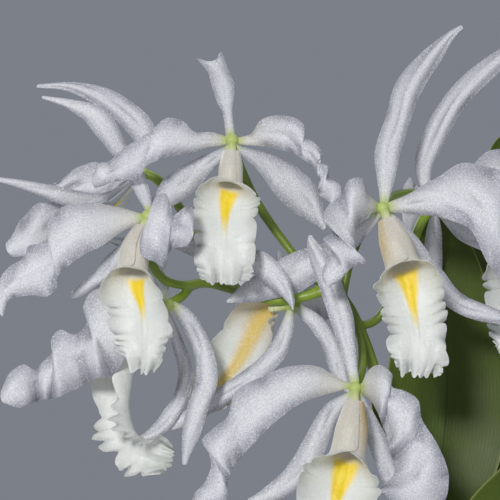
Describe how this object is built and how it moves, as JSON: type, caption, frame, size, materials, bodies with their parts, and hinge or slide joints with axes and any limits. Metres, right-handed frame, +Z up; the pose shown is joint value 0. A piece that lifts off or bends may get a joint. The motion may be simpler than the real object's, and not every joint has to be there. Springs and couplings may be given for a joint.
{
  "type": "potted cattleya maxima orchid",
  "caption": "White Cattleya maxima orchid in a plain clay pot, with leathery leaves on ribbed bulbs and a spray of frilled, yellow-striped blooms.",
  "frame": {"origin": "middle of the pot's flat base", "axes": "+Z up along the pot's axis, -Y towards the front of the spray, +X to the right seen from the front"},
  "size_m": [0.3365, 0.1798, 0.5829],
  "materials": {
    "pot": "dry fired clay",
    "bark": "rough chips",
    "rhizome": "woody, with papery scales",
    "bulb": "ribbed and waxy",
    "leaf": "waxy, dark olive",
    "sheath": "thin and papery",
    "stem": "smooth and glossy",
    "tepal": "soft white with a fine crystalline grain",
    "lip": "soft white with a yellow stripe"
  },
  "bodies": {
    "root": {"pot": "pot", "bark": "bark", "rhizome": "rhizome", "pseudobulb_1": "bulb", "leaf_1": "leaf", "pseudobulb_2": "bulb", "leaf_2": "leaf", "pseudobulb_3": "bulb", "leaf_3": "leaf", "pseudobulb_4": "bulb", "leaf_4": "leaf", "pseudobulb_5": "bulb", "leaf_5": "leaf", "spathe": "sheath", "flower_stem": "stem", "bloom_top": "tepal", "lip_top": "lip", "bloom_left": "tepal", "lip_left": "lip", "bloom_lower_left": "tepal", "lip_lower_left": "lip", "bloom_low_middle": "tepal", "lip_low_middle": "lip", "bloom_low_right": "tepal", "lip_low_right": "lip", "bloom_right": "tepal", "lip_right": "lip", "bloom_far_right": "tepal", "lip_far_right": "lip", "bloom_far_left": "tepal", "lip_far_left": "lip"}
  },
  "joints": []
}
